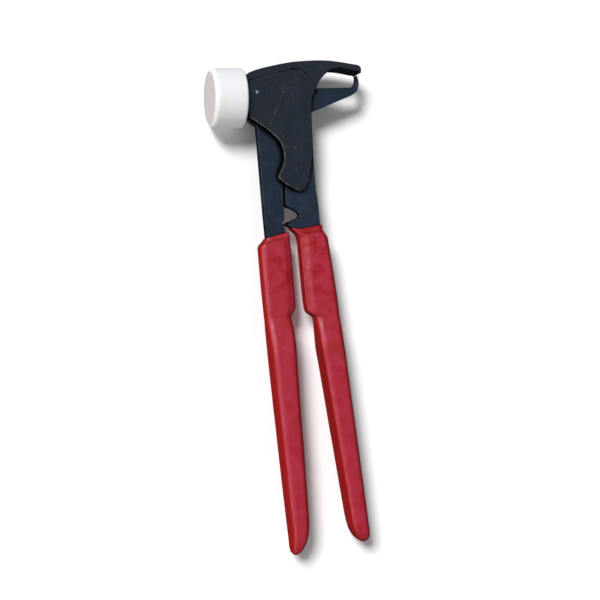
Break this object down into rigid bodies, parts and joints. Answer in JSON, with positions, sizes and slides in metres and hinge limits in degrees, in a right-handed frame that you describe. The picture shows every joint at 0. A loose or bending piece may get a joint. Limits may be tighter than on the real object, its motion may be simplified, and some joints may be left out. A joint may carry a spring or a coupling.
{
  "type": "wheel weight plier",
  "caption": "Hand plier with hammer head: nylon striking tip, top beak and swinging lower jaw, cutter notch between the levers, dipped plastic grips.",
  "frame": {"origin": "centre of the striking face of the hammer tip", "axes": "+X along the hammer axis from the striking face towards the beak, +Y up the head away from the handles, +Z out of the front cheek"},
  "size_m": [0.0851, 0.269, 0.032],
  "materials": {
    "cheek_steel": "black oxide, worn edges, fine scratches",
    "band_steel": "black oxide, satin",
    "lever_steel": "blue-black oxide, satin",
    "plain_steel": "machined",
    "bronze": "machined bronze",
    "nylon": "satin moulded nylon",
    "red_grip": "dipped plastic, soft gloss"
  },
  "bodies": {
    "head": {"head_core": "band_steel", "front_cheek": "cheek_steel", "rear_cheek": "cheek_steel", "fixed_lever": "lever_steel", "fixed_grip": "red_grip", "pivot_rivet": "cheek_steel", "front_washer": "plain_steel", "rear_washer": "plain_steel", "boss_rivet": "cheek_steel", "spine_rivet_left": "cheek_steel", "spine_rivet_right": "cheek_steel", "tail_rivet_upper": "cheek_steel", "tail_rivet_lower": "cheek_steel", "hammer_tip": "nylon", "tip_insert": "plain_steel", "hammer_stud": "plain_steel", "boss_washer": "plain_steel", "stud_lock_pin": "plain_steel"},
    "jaw": {"jaw_lever": "lever_steel", "jaw_grip": "red_grip", "pivot_bush": "bronze"}
  },
  "joints": [
    {"name": "jaw_pivot", "type": "hinge", "parent": "head", "child": "jaw", "pos_m": [0.0435, -0.0068, 0], "axis": [0, 0, -1], "range_deg": [0, 20]}
  ]
}
